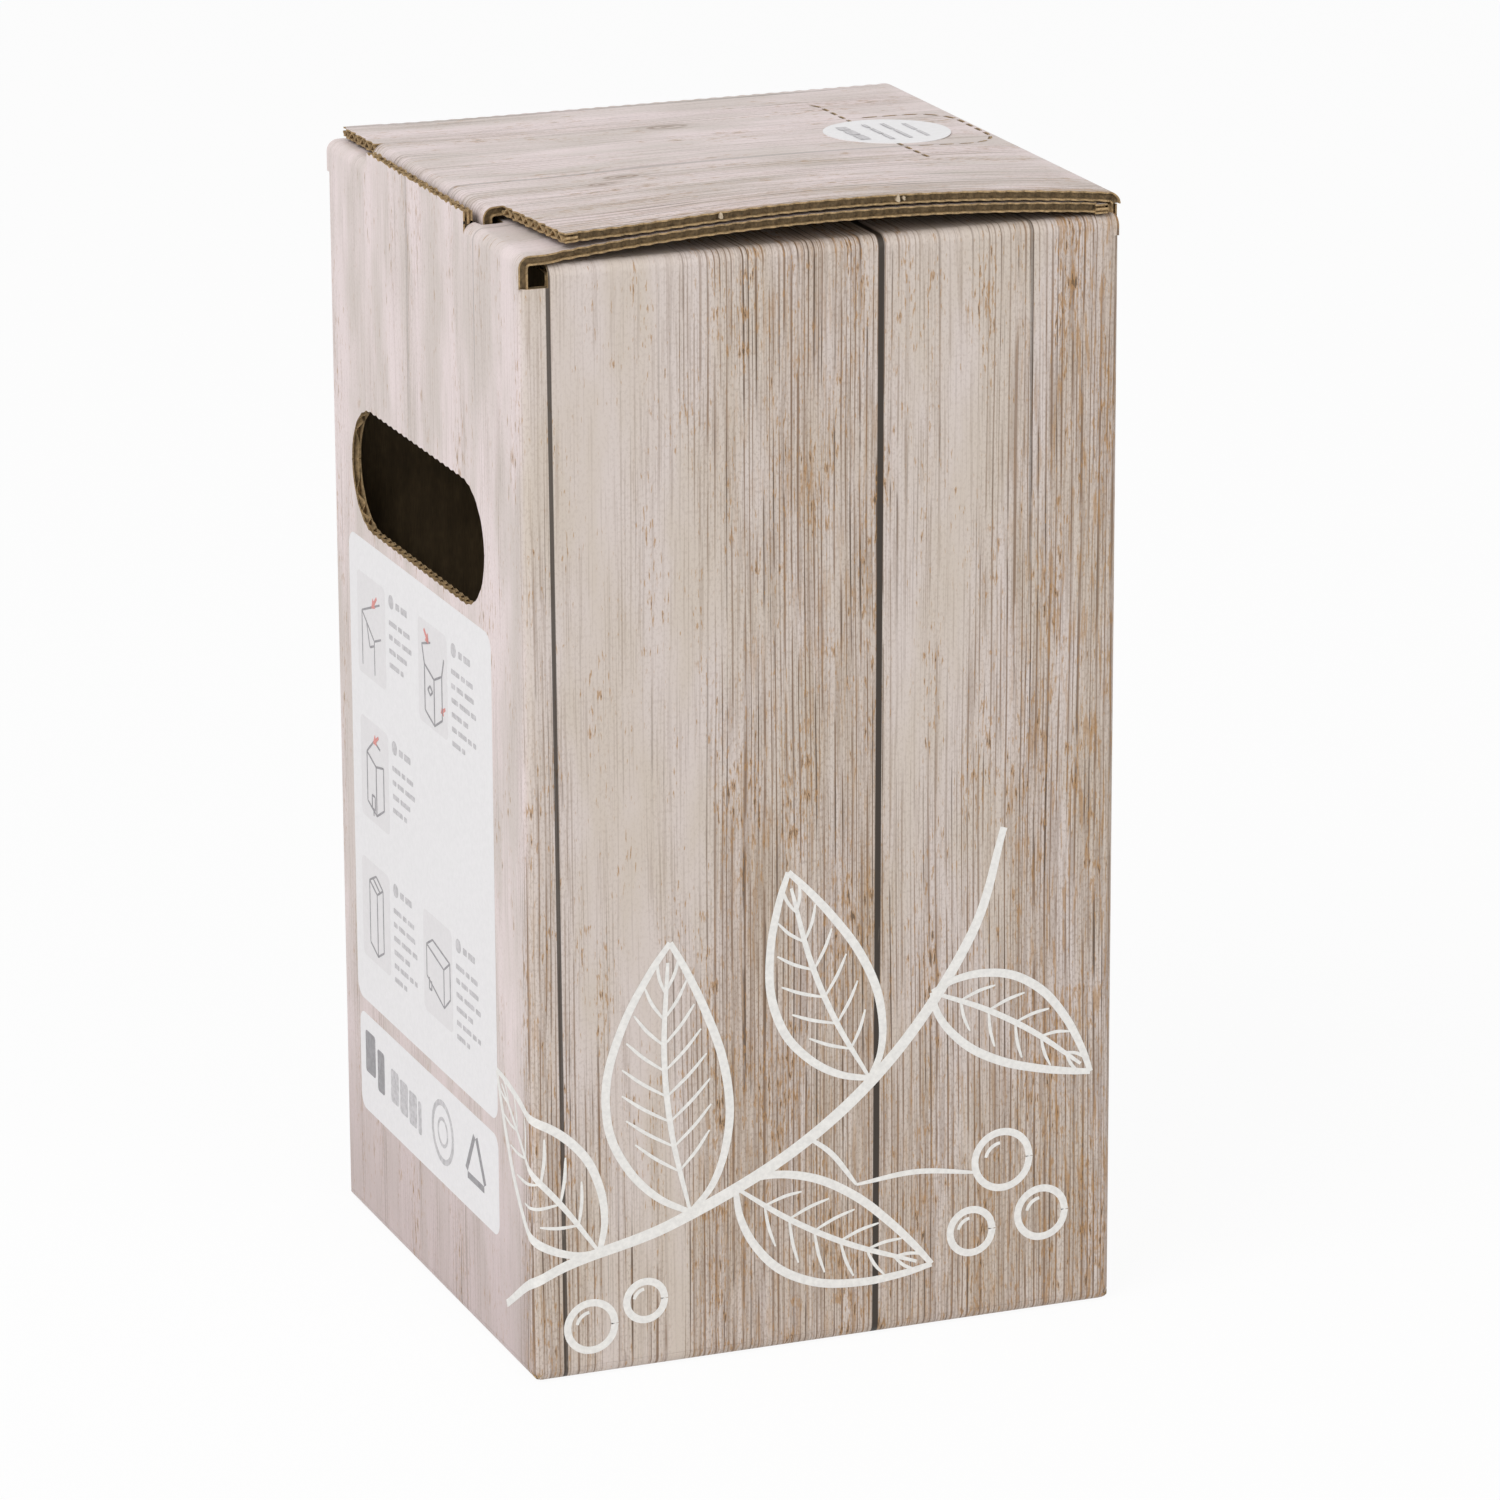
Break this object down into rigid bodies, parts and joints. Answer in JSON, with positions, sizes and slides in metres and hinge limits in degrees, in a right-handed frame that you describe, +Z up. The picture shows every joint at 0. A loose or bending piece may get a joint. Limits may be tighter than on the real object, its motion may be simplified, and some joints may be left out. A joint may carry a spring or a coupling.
{
  "type": "bag in box carton",
  "caption": "Tall folded corrugated carton for a bag in box, with a hinged tuck-in lid, hand hole, perforated tap door and round seal.",
  "frame": {"origin": "on the floor under the middle of the carton's footprint", "axes": "+Z up, +X from the hand hole panel to the lid's hinge panel, +Y from the front panel to the back panel"},
  "size_m": [0.13, 0.122, 0.2436],
  "materials": {
    "printed_corrugated_board": "matte print",
    "printed_lid_board": "matte print",
    "label_paper": "semi-matte paper"
  },
  "bodies": {
    "carton_body": {"carton": "printed_corrugated_board"},
    "lid_body": {"lid": "printed_lid_board", "opening_label": "label_paper"}
  },
  "joints": [
    {"name": "lid_hinge", "type": "hinge", "parent": "carton_body", "child": "lid_body", "pos_m": [0.065, 0, 0.23735], "axis": [0, 1, 0], "range_deg": [0, 180]}
  ]
}
